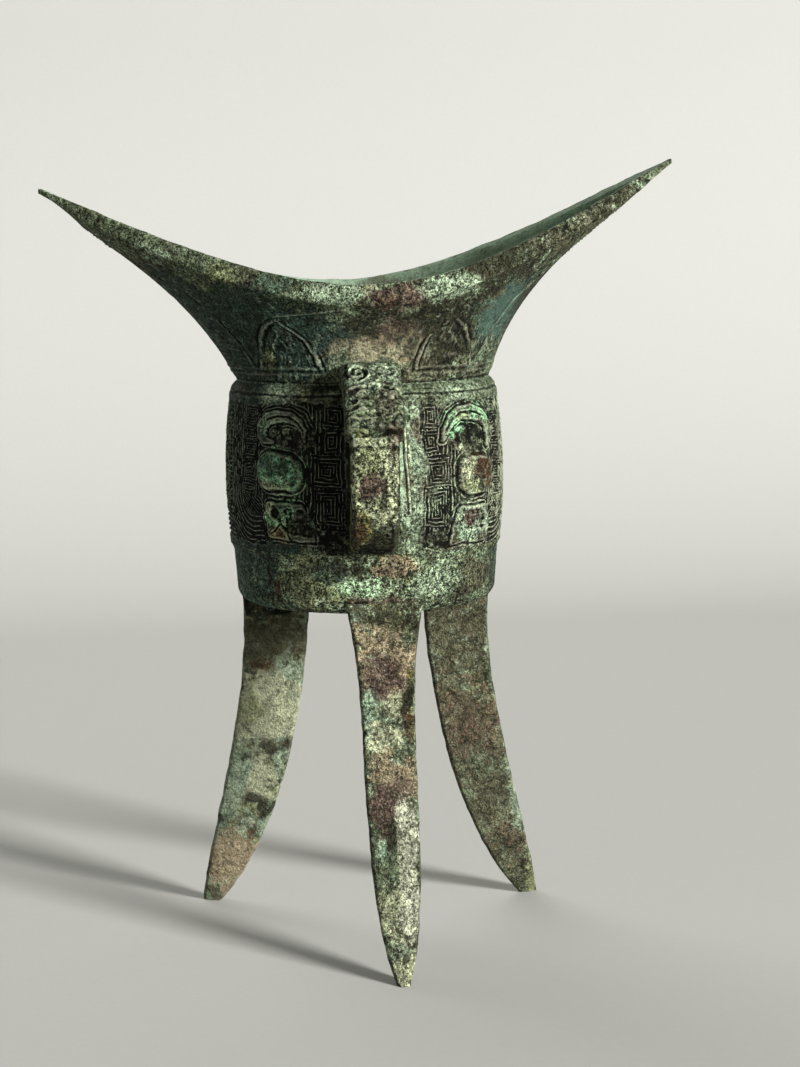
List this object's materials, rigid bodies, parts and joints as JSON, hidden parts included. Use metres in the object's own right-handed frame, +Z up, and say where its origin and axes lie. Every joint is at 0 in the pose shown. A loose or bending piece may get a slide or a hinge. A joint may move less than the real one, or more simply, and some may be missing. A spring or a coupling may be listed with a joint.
{
  "type": "bronze jiao vessel",
  "caption": "Archaic bronze wine vessel with a round cup, a saddle-shaped mouth drawn out into pointed wings, a beast-headed strap handle and blade-shaped legs.",
  "frame": {"origin": "under the middle of the vessel's bounding box, at the level of the feet", "axes": "+Z up, +X along the wings towards the higher one, +Y away from the handle"},
  "size_m": [0.1656, 0.0992, 0.2034],
  "materials": {
    "cup_bronze": "cast bronze under a rough green and brown patina",
    "handle_bronze": "cast bronze under a rough olive patina",
    "leg_bronze": "cast bronze under a rough brown and yellow-green patina",
    "spacer_bronze": "darker cast bronze, matt",
    "fired_clay": "unglazed fired clay, matt"
  },
  "bodies": {
    "root": {"cup_body": "cup_bronze", "handle": "handle_bronze", "handle_clay_core": "fired_clay", "leg_front": "leg_bronze", "leg_right": "leg_bronze", "leg_left": "leg_bronze", "base_spacer_right": "spacer_bronze", "base_spacer_rear": "spacer_bronze", "base_spacer_left": "spacer_bronze"}
  },
  "joints": []
}
